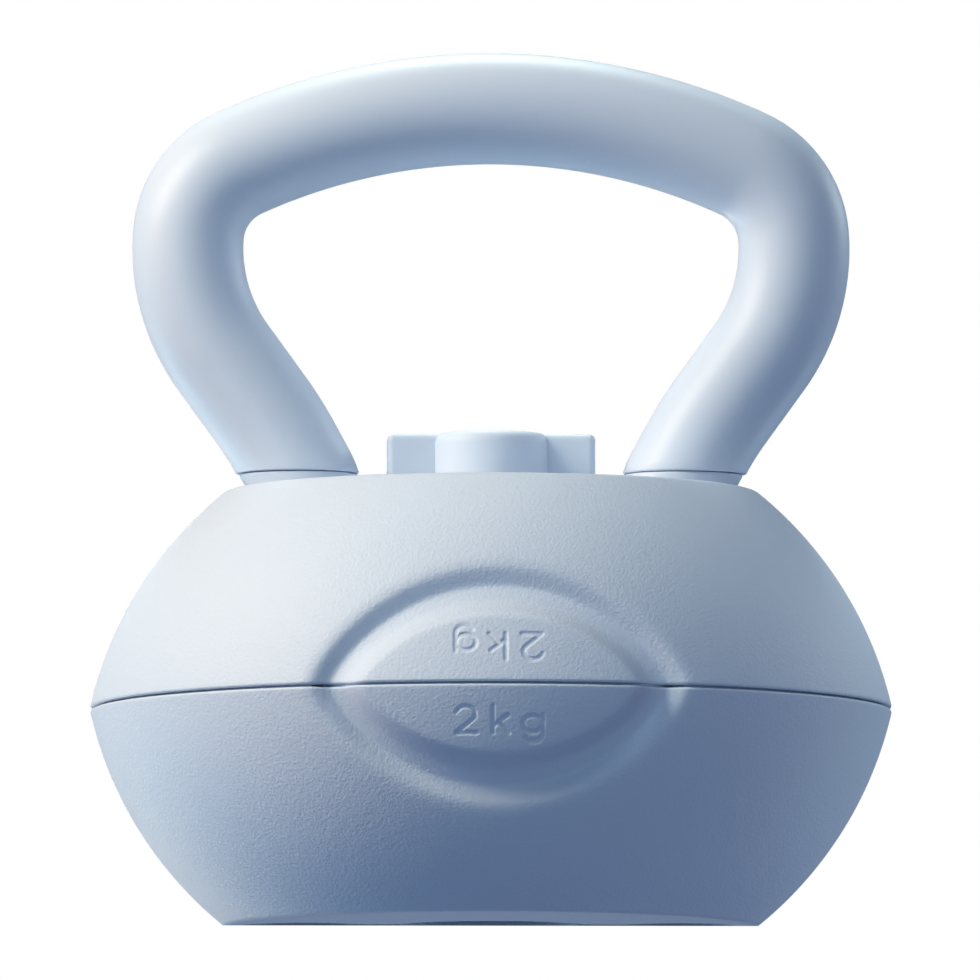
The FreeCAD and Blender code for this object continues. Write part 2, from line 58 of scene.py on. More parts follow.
# %% [markdown]
# ## Surfaces from grids
#
# Every new piece is a grid of points: one direction runs round the piece, the other along its
# outline. Modifiers could round a coarse block instead, but a grid puts points exactly where the
# detail is. A grid that closes on itself in both directions is a solid with no open edge, like a
# tyre's skin, and that suits pieces with a hole through them.

# %% Grid faces and mesh making
def grid_faces(rows, columns, closed_rows=True):
    """Four-cornered faces between neighbouring rows and columns. The columns always close."""
    row = np.arange(rows if closed_rows else rows - 1)[:, None]
    column = np.arange(columns)[None, :]
    next_row = (row + 1) % rows
    next_column = (column + 1) % columns
    corners = [
        row * columns + column,
        row * columns + next_column,
        next_row * columns + next_column,
        next_row * columns + column,
    ]
    return np.stack(corners, axis=-1).reshape(-1, 4)


def pole_faces(ring_start, columns, pole, turned):
    """Triangles from one ring of the grid to a single point that closes it."""
    here = ring_start + np.arange(columns)
    beyond = ring_start + (np.arange(columns) + 1) % columns
    tip = np.full(columns, pole)
    order = [beyond, here, tip] if turned else [here, beyond, tip]
    return np.stack(order, axis=-1)


def add_piece(name, points, face_groups, sharp_angle=40.0):
    """Puts points and faces into a new object at the origin, smooth except at sharp edges."""
    mesh = bpy.data.meshes.new(name)
    corners = np.concatenate([group.ravel() for group in face_groups])
    sizes = np.concatenate([np.full(len(group), group.shape[1]) for group in face_groups])
    starts = np.concatenate([[0], np.cumsum(sizes)[:-1]])
    mesh.vertices.add(len(points))
    mesh.vertices.foreach_set("co", np.ascontiguousarray(points, dtype=np.float32).ravel())
    mesh.loops.add(len(corners))
    mesh.loops.foreach_set("vertex_index", corners.astype(np.int32))
    mesh.polygons.add(len(sizes))
    mesh.polygons.foreach_set("loop_start", starts.astype(np.int32))
    mesh.update(calc_edges=True)
    mesh.set_sharp_from_angle(angle=math.radians(sharp_angle))
    piece = bpy.data.objects.new(name, mesh)
    bpy.context.scene.collection.objects.link(piece)
    triangles = int((sizes - 2).sum())
    print(f"{name}: {len(points)} points, {triangles} triangles, volume {volume_of(mesh):.1f} cm3")
    return piece


def volume_of(mesh):
    """Volume in cubic centimetres. It is negative if the faces point inwards."""
    mesh.calc_loop_triangles()
    places = np.empty(len(mesh.vertices) * 3, np.float32)
    mesh.vertices.foreach_get("co", places)
    places = places.reshape(-1, 3).astype(float)
    corners = np.empty(len(mesh.loop_triangles) * 3, np.int32)
    mesh.loop_triangles.foreach_get("vertices", corners)
    a, b, c = places[corners.reshape(-1, 3)].transpose(1, 0, 2)
    return float((a * np.cross(b, c)).sum() / 6) * 1e6


# %% Small curve tools
def spaced(stops, steps):
    """Rising numbers from stop to stop, each stretch divided into about the given step."""
    runs = []
    for low, high, step in zip(stops[:-1], stops[1:], steps):
        count = max(1, round((high - low) / step))
        runs.append(np.linspace(low, high, count, endpoint=False))
    return np.concatenate(runs + [[stops[-1]]])


def turn_points(centre, radius, start, end, count):
    """Points on an arc in a flat outline: centre plus radius times cosine and sine of the turn."""
    turns = np.radians(np.linspace(start, end, count))
    return centre[0] + radius * np.cos(turns), centre[1] + radius * np.sin(turns)


# %% [markdown]
# ## The bowls' outline
#
# Each bowl is a side arc spun round the upright axis, rounded where it meets the flat end and
# again at the rim. A lathe-like spin would do for a plain bowl. Here the side also carries the
# oval badge, so the outline is kept as numbers and each column may pull it inwards.

# %% Bowl sizes
half_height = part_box("upper_shell")[1].z / 2
seam_radius = 100.25 * mm
side_arc_radius = 96.0 * mm
end_radius = 66.3 * mm
end_edge_radius = 3.5 * mm
rim_edge_radius = 0.55 * mm
rim_level = half_height - 0.3 * mm
ledge_level = half_height - 5.0 * mm
wall = 4.0 * mm
pocket_depth = 18.0 * mm
pocket_edge_radius = 0.8 * mm
support_gap = 0.15 * mm
pocket_wall = 3.5 * mm
tube_bore = 7.0 * mm
tube_radius = 10.0 * mm
seat_radius = 97.4 * mm
seat_wall = 1.6 * mm

run = seam_radius - end_radius
chord = math.hypot(run, half_height)
reach = math.sqrt(side_arc_radius ** 2 - chord ** 2 / 4)
arc_centre_radius = (seam_radius + end_radius) / 2 - reach * half_height / chord
arc_centre_level = half_height / 2 + reach * run / chord
print("side arc centre", arc_centre_radius / mm, arc_centre_level / mm)


# %% Side arc and its two rounded edges
def side_radius(level, inset=0.0):
    """Radius of the side at a level: arc centre plus the square root of arc radius^2 - rise^2."""
    rise = level - arc_centre_level
    return arc_centre_radius + np.sqrt((side_arc_radius - inset) ** 2 - rise ** 2)


def edge_rounding(level, radius):
    """Centre of the small arc that touches the side arc from inside and a flat at that level."""
    return side_radius(level, radius), level


# %% [markdown]
# ## The oval badge
#
# A ring-shaped groove surrounds a raised eye-shaped field on the front and back. It could be cut
# with a Boolean, but the mould has soft lips that a Boolean leaves sharp. Instead every point of
# the side is given an oval number: the half-height of the oval of this family that passes
# through it. The ovals are drawn out to blunt points at the seam. The groove is then a single
# curve, depth against oval number: a ramp down from the field, a narrow floor, a rounded wall.

# %% Groove depth
oval_stretch = 17.0 * mm
oval_point_power = 1.36
groove_corners = [
    (17.1 * mm, 0.0 * mm, 0.5 * mm),
    (20.8 * mm, 4.0 * mm, 0.6 * mm),
    (24.7 * mm, 4.6 * mm, 0.7 * mm),
    (29.4 * mm, 0.4 * mm, 1.2 * mm),
    (31.8 * mm, 0.0 * mm, 0.8 * mm),
]


def oval_number(across, up):
    """Half-height t of the oval with (across / (t + stretch))^2 + (up / t)^power = 1, by halving."""
    low = np.full(across.shape, 0.01 * mm)
    high = np.full(across.shape, 2 * seam_radius)
    for _ in range(28):
        middle = (low + high) / 2
        rise = (np.abs(up) / middle) ** oval_point_power
        outside = (across / (middle + oval_stretch)) ** 2 + rise > 1
        low = np.where(outside, middle, low)
        high = np.where(outside, high, middle)
    return (low + high) / 2


def rounded_chain(value, corners):
    """Straight runs through the corners, level before the first and after the last.

    Each corner adds its change of slope times (d + sqrt(d^2 + w^2)) / 2, where d is the
    distance past the corner and w its softness.
    """
    places = [corner[0] for corner in corners]
    heights = [corner[1] for corner in corners]
    slopes = [0.0, *(np.diff(heights) / np.diff(places)), 0.0]
    total = np.full(np.shape(value), heights[0])
    for place, softness, change in zip(places, [c[2] for c in corners], np.diff(slopes)):
        past = value - place
        total = total + change * (past + np.sqrt(past ** 2 + softness ** 2)) / 2
    return total


def groove_depth(across, up):
    """Depth of the badge groove, straight in from the front or back, at a point of the side."""
    return np.clip(rounded_chain(oval_number(across, up), groove_corners), 0.0, None)


# %% [markdown]
# ## The weight mark
#
# The field of each half is marked with the weight. The strokes are drawn as short straight
# lines, and a point's depth depends on its distance from the nearest line. That gives letters
# with soft edges like a mould's, which a text object cut from the surface doesn't.

# %% Strokes of the mark
mark_height = 6.4 * mm
mark_width_share = 1.25
mark_centre = half_height - 9.0 * mm
stroke_half_width = 0.5 * mm
mark_depth = 0.34 * mm
mark_zone_half_width = 14 * mm


def arc_stroke(centre, radius, start, end, count=12):
    """Points along part of a circle, as columns of x and y."""
    return np.column_stack(turn_points(centre, radius, start, end, count))


def mark_strokes():
    """Polylines of the plain figure 2 and the letters k and g, on a line 1 high, centred."""
    figure = np.vstack([arc_stroke((0.3, 0.7), 0.3, 165, -38), [(0.02, 0.0), (0.64, 0.0)]])
    stem = np.array([(0.0, 0.0), (0.0, 1.0)])
    arm = np.array([(0.46, 0.66), (0.0, 0.24)])
    leg = np.array([(0.17, 0.4), (0.5, 0.0)])
    bowl = arc_stroke((0.31, 0.34), 0.31, 0, 360, 24)
    tail = np.vstack([[(0.62, 0.66), (0.62, 0.0)], arc_stroke((0.34, -0.03), 0.28, 0, -150)])
    placed = [figure - (1.56, 0)]
    placed += [part - (0.42, 0) for part in (stem, arm, leg)]
    placed += [part + (0.5, 0) for part in (bowl, tail)]
    middle = np.array([0.22, -0.5])
    return [(part + middle) * (mark_width_share * mark_height, mark_height) for part in placed]


def mark_depth_at(across, up):
    """Depth of the mark: full within a stroke, fading over its soft edge, by nearest distance."""
    nearest = np.full(across.shape, 1.0)
    for stroke in mark_strokes():
        for start, end in zip(stroke[:-1], stroke[1:]):
            run_x, run_y = end - start
            along = ((across - start[0]) * run_x + (up - start[1]) * run_y) / (run_x ** 2 + run_y ** 2)
            along = np.clip(along, 0, 1)
            gap = np.hypot(across - start[0] - along * run_x, up - start[1] - along * run_y)
            nearest = np.minimum(nearest, gap)
    share = np.clip((1.5 * stroke_half_width - nearest) / stroke_half_width, 0, 1)
    return mark_depth * share * share * (3 - 2 * share)


# %% [markdown]
# ## The three-lobed pocket
#
# The flat end of each bowl has a pocket for the clamp plate or the handle's base: a round
# middle, two round lobes under the handle's feet and straight necks between. The outline is
# worked out once as a dense line and then shared among the bowl's columns, partly by direction
# and partly by length, so that no column folds over another.

# %% Pocket outline
lobe_offset = 46.8 * mm
lobe_radius = 16.2 * mm
centre_radius = 25.0 * mm
neck_half_width = 10.5 * mm
neck_corner_radius = 5.0 * mm


def pocket_quarter():
    """One quarter of the outline from the lobe's tip to the middle's side, with its normals."""
    corner_level = neck_half_width + neck_corner_radius
    inner = math.sqrt((centre_radius + neck_corner_radius) ** 2 - corner_level ** 2)
    outer = lobe_offset - math.sqrt((lobe_radius + neck_corner_radius) ** 2 - corner_level ** 2)
    lobe_end = math.degrees(math.atan2(corner_level, outer - lobe_offset))
    middle_start = math.degrees(math.atan2(corner_level, inner))
    lobe = turn_points((lobe_offset, 0), lobe_radius, 0, lobe_end, 200)
    outer_corner = turn_points((outer, corner_level), neck_corner_radius, lobe_end - 180, -90, 60)
    inner_corner = turn_points((inner, corner_level), neck_corner_radius, -90, middle_start - 180, 60)
    middle = turn_points((0, 0), centre_radius, middle_start, 90, 200)
    parts = [lobe, outer_corner, inner_corner, middle]
    x = np.concatenate([part[0] for part in parts])
    y = np.concatenate([part[1] for part in parts])
    keep = np.concatenate([[True], np.hypot(np.diff(x), np.diff(y)) > 1e-9])
    return x[keep], y[keep]


def pocket_outline(directions, grow=0.0):
    """Outline points for the columns' directions, moved outwards by grow."""
    x, y = pocket_quarter()
    length = np.concatenate([[0], np.cumsum(np.hypot(np.diff(x), np.diff(y)))])
    measure = 0.5 * np.arctan2(y, x) + 0.5 * length / length[-1] * math.pi / 2
    tangent_x, tangent_y = np.gradient(x), np.gradient(y)
    size = np.hypot(tangent_x, tangent_y)
    normal_x, normal_y = tangent_y / size, -tangent_x / size
    turn = np.arctan2(np.sin(directions), np.cos(directions))
    folded = np.arctan2(np.abs(np.sin(turn)), np.abs(np.cos(turn)))
    side = np.where(np.abs(turn) > math.pi / 2, -1.0, 1.0)
    front = np.where(turn < 0, -1.0, 1.0)
    place_x = np.interp(folded, measure, x + grow * normal_x)
    place_y = np.interp(folded, measure, y + grow * normal_y)
    return side * place_x, front * place_y


# %% [markdown]
# ## One bowl
#
# Both bowls come out of one mould, so one surface serves twice: the upper bowl is the lower one
# turned half a turn about a front-to-back line at the seam. The skin starts at the rod tube's
# mouth, runs over the pocket floor, out across the flat end, up the side, over the rim and the
# lid's step, and back down the inside. It closes on itself, so the wall has its real thickness.

# %% Columns and rows of the bowl
half_turn = math.pi * seam_radius
badge_reach = 52 * mm
mark_reach = 13 * mm
back_step = 1.1 * mm
plain_step = 2.4 * mm
badge_step = 0.8 * mm
mark_step = 0.2 * mm
half_stops = [mark_reach, badge_reach, half_turn - badge_reach, half_turn]
half_steps = [badge_step, plain_step, back_step]
side_columns = spaced(
    [-stop for stop in half_stops[::-1]] + half_stops,
    half_steps[::-1] + [mark_step] + half_steps,
)[:-1]
column_turn = side_columns / seam_radius - math.pi / 2
badge_low_level = 22 * mm
low_row_step = 1.5 * mm
badge_row_step = 0.5 * mm
mark_row_step = 0.2 * mm
pocket_back_step = 3 * mm
inner_clearance = 0.1 * mm
print("bowl columns", len(column_turn))


def ring(radius, level):
    """A level circle of points, one for each column. The radius may differ by column."""
    radius = np.broadcast_to(radius, column_turn.shape)
    level = np.broadcast_to(level, column_turn.shape)
    return np.column_stack([radius * np.cos(column_turn), radius * np.sin(column_turn), level])


def pocket_ring(grow, level, limit=1.0):
    """The pocket outline at a level, moved outwards by grow, and kept inside a limiting radius."""
    x, y = pocket_outline(column_turn, grow)
    shrink = np.minimum(1.0, limit / np.hypot(x, y))
    return np.column_stack([x * shrink, y * shrink, np.full(x.shape, level)])


def between(first, last, count):
    """Rows that divide the way from one row to another evenly, both ends left out."""
    shares = np.linspace(0, 1, count + 2)[1:-1, None, None]
    return first * (1 - shares) + last * shares


def outer_outline():
    """Radius, level and outward direction along the bowl's outside, from flat end to rim."""
    low_x, low_z = edge_rounding(end_edge_radius, end_edge_radius)
    top_x, top_z = edge_rounding(rim_level - rim_edge_radius, rim_edge_radius)
    low_end = math.atan2(low_z - arc_centre_level, low_x - arc_centre_radius)
    top_start = math.atan2(top_z - arc_centre_level, top_x - arc_centre_radius)
    low_touch = arc_centre_level + side_arc_radius * math.sin(low_end)
    top_touch = arc_centre_level + side_arc_radius * math.sin(top_start)
    mark_low = mark_centre - 0.75 * mark_height
    mark_high = mark_centre + 0.6 * mark_height
    stops = [low_touch, badge_low_level, mark_low, mark_high, top_touch]
    levels = spaced(stops, [low_row_step, badge_row_step, mark_row_step, badge_row_step])
    side_turn = np.arcsin((levels - arc_centre_level) / side_arc_radius)
    low_turn = np.linspace(-math.pi / 2, low_end, 9)[:-1]
    top_turn = np.linspace(top_start, math.pi / 2, 6)[1:]
    turn = np.concatenate([low_turn, side_turn, top_turn])
    radius = np.concatenate([
        low_x + end_edge_radius * np.cos(low_turn),
        arc_centre_radius + side_arc_radius * np.cos(side_turn),
        top_x + rim_edge_radius * np.cos(top_turn),
    ])
    level = np.concatenate([
        low_z + end_edge_radius * np.sin(low_turn),
        levels,
        top_z + rim_edge_radius * np.sin(top_turn),
    ])
    return radius, level, turn


def bowl_side():
    """Rows of the bowl's outside: the outline spun round, then pushed in front to back."""
    radius, level, turn = outer_outline()
    across = radius[:, None] * np.cos(column_turn)
    up = np.broadcast_to((level - half_height)[:, None], across.shape)
    depth = groove_depth(across, up)
    front = np.abs(side_columns) < mark_zone_half_width
    marked = np.abs(level - mark_centre) < mark_height
    zone = np.ix_(marked, front)
    depth[zone] += mark_depth_at(across[zone], up[zone] + half_height - mark_centre)
    forward = radius[:, None] * np.sin(column_turn)
    rows = [across, forward - depth * np.sign(forward), np.broadcast_to(level[:, None], depth.shape)]
    return np.stack(rows, axis=-1), depth[-1]


def pushed(points, depth):
    """Points moved towards the middle from the front or back by a depth."""
    inward = -np.sign(points[..., 1])
    return points + np.stack([0 * depth, depth * inward, 0 * depth], axis=-1)


def bowl_inside(rim_depth):
    """Rows from the rim over the lid's step, down the inner wall and up the pocket's back."""
    ledge_depth = groove_depth(side_radius(ledge_level) * np.cos(column_turn), ledge_level - half_height)
    rim_push = rim_depth - (side_radius(rim_level) - seat_radius - seat_wall)
    ledge_push = ledge_depth - (side_radius(ledge_level) - seat_radius - seat_wall)
    seat_depth = np.maximum(np.maximum(rim_push, ledge_push), 0)
    rows = [pushed(ring(seat_radius, level), seat_depth)[None] for level in (rim_level, ledge_level)]
    levels = np.linspace(ledge_level, wall, 16)
    across = side_radius(levels)[:, None] * np.cos(column_turn)
    up = np.broadcast_to((levels - half_height)[:, None], across.shape)
    inner = np.stack([ring(side_radius(level, wall), level) for level in levels])
    rows.append(pushed(inner, groove_depth(across, up)))
    top = pocket_depth + wall
    for level in (wall, wall + pocket_back_step, top):
        limit = side_radius(level, wall) - inner_clearance
        rows.append(pocket_ring(pocket_wall, level, limit)[None])
    rows.append(ring(tube_radius, top)[None])
    rows.append(ring(tube_radius, ledge_level)[None])
    rows.append(ring(tube_bore, ledge_level)[None])
    return np.concatenate(rows)


def bowl_end():
    """Rows from the tube's mouth over the pocket floor and wall to the flat end's outer edge."""
    mouth = ring(tube_bore, pocket_depth)
    floor_edge = pocket_ring(0.0, pocket_depth)
    wall_low = pocket_ring(0.0, pocket_edge_radius)
    turns = np.linspace(0, math.pi / 2, 6)[1:]
    lip = [
        pocket_ring(pocket_edge_radius * (1 - math.cos(t)), pocket_edge_radius * (1 - math.sin(t)))
        for t in turns
    ]
    edge_radius = edge_rounding(end_edge_radius, end_edge_radius)[0]
    rows = [mouth[None], between(mouth, floor_edge, 3), floor_edge[None]]
    rows += [between(floor_edge, wall_low, 2), wall_low[None], np.stack(lip)]
    lip_support = pocket_ring(pocket_edge_radius + support_gap, 0.0)
    edge_support = ring(edge_radius - support_gap, 0.0)
    rows += [lip_support[None], between(lip_support, edge_support, 4), edge_support[None]]
    return np.concatenate(rows)


# %% Make both bowls
post_radius = 5.5 * mm
post_bore = 2.05 * mm
post_circle_radius = 62 * mm
post_columns = 32
post_rows = 4
post_directions = [45, 135, 225, 315]


def screw_posts():
    """Points of the four screw posts inside a bowl: each a tube, its skin closed on itself."""
    turns = np.linspace(0, 2 * math.pi, post_columns, endpoint=False)
    outline = [(post_radius, wall), (post_radius, ledge_level), (post_bore, ledge_level), (post_bore, wall)]
    rows = [
        np.column_stack([radius * np.cos(turns), radius * np.sin(turns), np.full(post_columns, level)])
        for radius, level in outline
    ]
    post = np.concatenate(rows)
    places = np.radians(post_directions)
    shifts = post_circle_radius * np.column_stack([np.cos(places), np.sin(places), 0 * places])
    return (post[None] + shifts[:, None]).reshape(-1, 3)


def bowl_mesh():
    """All points and faces of the lower bowl, posts included."""
    side, rim_depth = bowl_side()
    rows = np.concatenate([bowl_end(), side, bowl_inside(rim_depth)])
    skin = rows.reshape(-1, 3)
    faces = [grid_faces(len(rows), len(column_turn))]
    posts = screw_posts()
    post_faces = grid_faces(post_rows, post_columns)
    for index in range(len(post_directions)):
        faces.append(post_faces + len(skin) + index * post_rows * post_columns)
    return np.concatenate([skin, posts]), faces


def turned_over(points):
    """The same points turned half a turn about the front-to-back line at the seam."""
    return points * (-1, 1, -1) + (0, 0, 2 * half_height)


bowl_points, bowl_faces = bowl_mesh()
lower_bowl = add_piece("lower_bowl", bowl_points, bowl_faces)
upper_bowl = add_piece("upper_bowl", turned_over(bowl_points), bowl_faces)
for bowl, node in ((lower_bowl, "lower_shell"), (upper_bowl, "upper_shell")):
    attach(bowl, "kettlebell_body")
    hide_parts(node)

# %% [markdown]
# ## The handle's centreline
#
# The handle is one bar bent in a plane. A bender thinks of it as a list of bends: so much
# length at such a radius. The same list is used here. The heading rises evenly with length
# along a bend, and the centreline is the running sum of the heading's direction. Two straights,
# the leg above the ankle bend and the shin below it, take the lengths that bring the foot to
# its place.

# %% Bends and centreline
crown_level = 205.1 * mm
foot_offset = 45.5 * mm
foot_level = 104.8 * mm
leg_heading = 125.9
ankle_heading = 118.5
upper_bends = [(152.0 * mm, 24.5), (21.8 * mm, 86.3), (46.8 * mm, leg_heading)]
ankle_radius = 88.0 * mm
foot_bend_radius = 16.0 * mm
line_points = 6000


def centreline(leg_length, shin_length):
    """Length, place and heading along the right half of the handle, from the middle of the top."""
    lengths = [0.0]
    headings = [0.0]
    for radius, heading in upper_bends:
        lengths.append(lengths[-1] + radius * math.radians(heading - headings[-1]))
        headings.append(heading)
    stretches = [
        (leg_length, leg_heading),
        (ankle_radius * math.radians(leg_heading - ankle_heading), ankle_heading),
        (shin_length, ankle_heading),
        (foot_bend_radius * math.radians(ankle_heading - 90), 90.0),
    ]
    for length, heading in stretches:
        lengths.append(lengths[-1] + length)
        headings.append(heading)
    along = np.linspace(0, lengths[-1], line_points)
    heading = np.radians(np.interp(along, lengths, headings))
    step = along[1] - along[0]
    middle = (heading[1:] + heading[:-1]) / 2
    x = np.concatenate([[0], np.cumsum(np.cos(middle) * step)])
    z = crown_level - np.concatenate([[0], np.cumsum(np.sin(middle) * step)])
    return along, x, z, heading


def straight_lengths():
    """Leg and shin lengths that add up to what the bends alone leave open."""
    _, x, z, _ = centreline(0.0, 0.0)
    missing = [foot_offset - x[-1], foot_level - z[-1]]
    turns = np.radians([leg_heading, ankle_heading])
    return np.linalg.solve([np.cos(turns), -np.sin(turns)], missing)


leg_length, shin_length = straight_lengths()
line_length, line_x, line_z, line_heading = centreline(leg_length, shin_length)
print("leg", leg_length / mm, "shin", shin_length / mm, "foot", line_x[-1] / mm, line_z[-1] / mm)

# %% [markdown]
# ## The grip and its collars
#
# The grip is a smooth cover moulded on a steel tube. A bevelled curve would give a tube too, but
# its ends would be cut square to the bar, and these are cut level above the feet. So each line
# along the tube stops where it reaches the cut level, and the last stretch is shared out again.

# %% Tube round the centreline
around = np.linspace(0, 2 * math.pi, 72, endpoint=False)
foot_stretch = 45 * mm
shared_stretch = 22 * mm
even_rows = 150
shared_rows = 25


def tube_points(radius, length):
    """Place on the tube: the centreline plus radius times (cos on the outward side, sin across)."""
    x = np.interp(length, line_length, line_x)
    z = np.interp(length, line_length, line_z)
    heading = np.interp(length, line_length, line_heading)
    out = radius * np.cos(around)
    across = np.broadcast_to(radius * np.sin(around), x.shape)
    return np.stack([x + out * np.sin(heading), across, z + out * np.cos(heading)], axis=-1)


def length_at_level(radius, level):
    """For each line along the tube, the length at which it comes down to a level."""
    late = line_length > line_length[-1] - foot_stretch
    samples = line_length[late]
    levels = tube_points(radius, np.broadcast_to(samples[:, None], (samples.size, around.size)))[..., 2]
    found = [np.interp(-level, -levels[:, index], samples) for index in range(around.size)]
    return np.array(found)


def half_tube(radius, level):
    """Rows of the right half of a tube, from the top's middle to its level-cut end."""
    end = length_at_level(radius, level)
    even = np.linspace(0, end.min() - shared_stretch, even_rows)
    share = np.linspace(0, 1, shared_rows + 1)[1:, None]
    last = even[-1] + (end[None, :] - even[-1]) * share
    lengths = np.concatenate([np.broadcast_to(even[:, None], (even.size, around.size)), last])
    return tube_points(radius, lengths)


def whole_tube(radius, level):
    """The right half and its mirror image, as one run of rows from left foot to right foot."""
    right = half_tube(radius, level)
    left = right[:0:-1] * (-1, 1, 1)
    return np.concatenate([left, right])


# %% Make the grip
grip_radius = 13.9 * mm
core_room = 10.05 * mm
grip_end_level = 2 * half_height + 4.6 * mm
grip_edge = 0.5 * mm


def level_lip(ring_points, level, edge, faces_down=True):
    """Rows that round a level-cut end over: a quarter circle inwards and on to the level."""
    middle = ring_points.mean(axis=0)
    inward = (middle - ring_points) * (1, 1, 0)
    inward /= np.linalg.norm(inward, axis=1)[:, None]
    turns = np.linspace(0, math.pi / 2, 5)[1:, None, None]
    rows = ring_points + inward * edge * (1 - np.cos(turns))
    side = 1 if faces_down else -1
    rows[..., 2] = level + side * edge * (1 - np.sin(turns[..., 0]))
    return rows


def grip_points():
    """Closed skin: outside from left to right, right end, bore from right to left, left end."""
    outside = whole_tube(grip_radius, grip_end_level + grip_edge)
    bore = whole_tube(core_room, grip_end_level)
    right_lip = level_lip(outside[-1], grip_end_level, grip_edge)
    left_lip = level_lip(outside[0], grip_end_level, grip_edge)
    return np.concatenate([outside, right_lip, bore[::-1], left_lip[::-1]])


grip_rows = grip_points()
grip = add_piece("grip", grip_rows.reshape(-1, 3), [grid_faces(len(grip_rows), len(around))[:, ::-1]])
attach(grip, "kettlebell_body")
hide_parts("handle_grip")

# %% Make the foot collars
collar_bottom = 2 * half_height - 0.4 * mm
collar_top = grip_end_level - 0.2 * mm
collar_radius = 13.4 * mm
collar_edge = 0.35 * mm


def level_ring(radius, level):
    """The level cut through a tube round the centreline."""
    return tube_points(radius, length_at_level(radius, level))


def collar_points():
    """Rows of the right collar: a slanting sleeve round the foot, cut level at both ends."""
    low = level_ring(collar_radius, collar_bottom + collar_edge)
    high = level_ring(collar_radius, collar_top - collar_edge)
    levels = np.linspace(collar_bottom + collar_edge, collar_top - collar_edge, 8)
    outside = np.stack([level_ring(collar_radius, level) for level in levels])
    low_lip = level_lip(low, collar_bottom, collar_edge)
    high_lip = level_lip(high, collar_top, collar_edge, faces_down=False)
    hole = np.stack([level_ring(core_room, level) for level in np.linspace(collar_top, collar_bottom, 6)])
    return np.concatenate([low_lip[::-1], outside, high_lip, hole])


collar_rows = collar_points()
collar_faces = grid_faces(len(collar_rows), len(around))
right_collar = add_piece("right_collar", collar_rows.reshape(-1, 3), [collar_faces])
left_collar = add_piece("left_collar", (collar_rows * (-1, 1, 1)).reshape(-1, 3), [collar_faces[:, ::-1]])
for collar, node in ((right_collar, "foot_collar_right"), (left_collar, "foot_collar_left")):
    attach(collar, "kettlebell_body")
    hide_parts(node)

# %% [markdown]
# ## The threaded rod
#
# The clamp rod shows when the wing nut is screwed up. Its thread could be faked with a bump, but
# then its edge would stay straight. Here the radius follows the helix: full at the crest, less by
# the depth of the thread half a pitch further on.

# %% Make the rod
rod_radius = 5.97 * mm
thread_pitch = 1.75 * mm
thread_depth = 0.95 * mm
crest_share = 0.12
root_share = 0.2
rod_tip_chamfer = 1.0 * mm
rod_end_gap = 0.02 * mm
rod_columns = 48
rod_rows = 740
rod_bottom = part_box("clamp_rod")[0].z + rod_end_gap
rod_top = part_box("clamp_rod")[1].z - rod_end_gap


def thread_radius(turn, level):
    """Radius at a turn and level: flat crest, straight flank, flat root, by distance from the crest."""
    phase = level / thread_pitch - turn / (2 * math.pi)
    distance = 2 * np.abs(phase - np.round(phase))
    flank = (distance - crest_share) / (1 - crest_share - root_share)
    radius = rod_radius - thread_depth * np.clip(flank, 0, 1)
    from_end = np.minimum(level - rod_bottom, rod_top - level)
    return np.minimum(radius, rod_radius - rod_tip_chamfer + from_end)


def rod_mesh():
    """Points and faces of the rod, with one point closing each end."""
    turns = np.linspace(0, 2 * math.pi, rod_columns, endpoint=False)
    levels = np.linspace(rod_bottom, rod_top, rod_rows)
    turn, level = np.meshgrid(turns, levels)
    radius = thread_radius(turn, level)
    skin = np.stack([radius * np.cos(turn), radius * np.sin(turn), level], axis=-1)
    tips = [(0, 0, rod_bottom), (0, 0, rod_top)]
    points = np.concatenate([skin.reshape(-1, 3), tips])
    last_ring = (len(levels) - 1) * len(turns)
    faces = [
        grid_faces(len(levels), len(turns), closed_rows=False),
        pole_faces(0, len(turns), len(points) - 2, turned=True),
        pole_faces(last_ring, len(turns), len(points) - 1, turned=False),
    ]
    return points, faces


rod = add_piece("rod", *rod_mesh())
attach(rod, "kettlebell_body")
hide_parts("clamp_rod")

# %% [markdown]
# ## Shader arithmetic
#
# Finishes are made of shader nodes. Wiring them by hand is slow to read, so one small class wraps
# a node's output and lets Python's plus, minus and times add the Math nodes. Any other node comes
# from one method that takes its type, its settings and what goes into its sockets.

# %% Signal and Finish
class Signal:
    """One output of a shader node. Arithmetic on it adds a Math node and gives its output."""

    def __init__(self, finish, socket):
        self.finish = finish
        self.socket = socket

    def math(self, operation, *values):
        """A Math node of that operation on these values."""
        inputs = dict(enumerate(values))
        return self.finish.node("ShaderNodeMath", {"operation": operation}, inputs)

    def __add__(self, other):
        return self.math("ADD", self, other)

    def __radd__(self, other):
        return self.math("ADD", other, self)

    def __sub__(self, other):
        return self.math("SUBTRACT", self, other)

    def __rsub__(self, other):
        return self.math("SUBTRACT", other, self)

    def __mul__(self, other):
        return self.math("MULTIPLY", self, other)

    def __rmul__(self, other):
        return self.math("MULTIPLY", other, self)


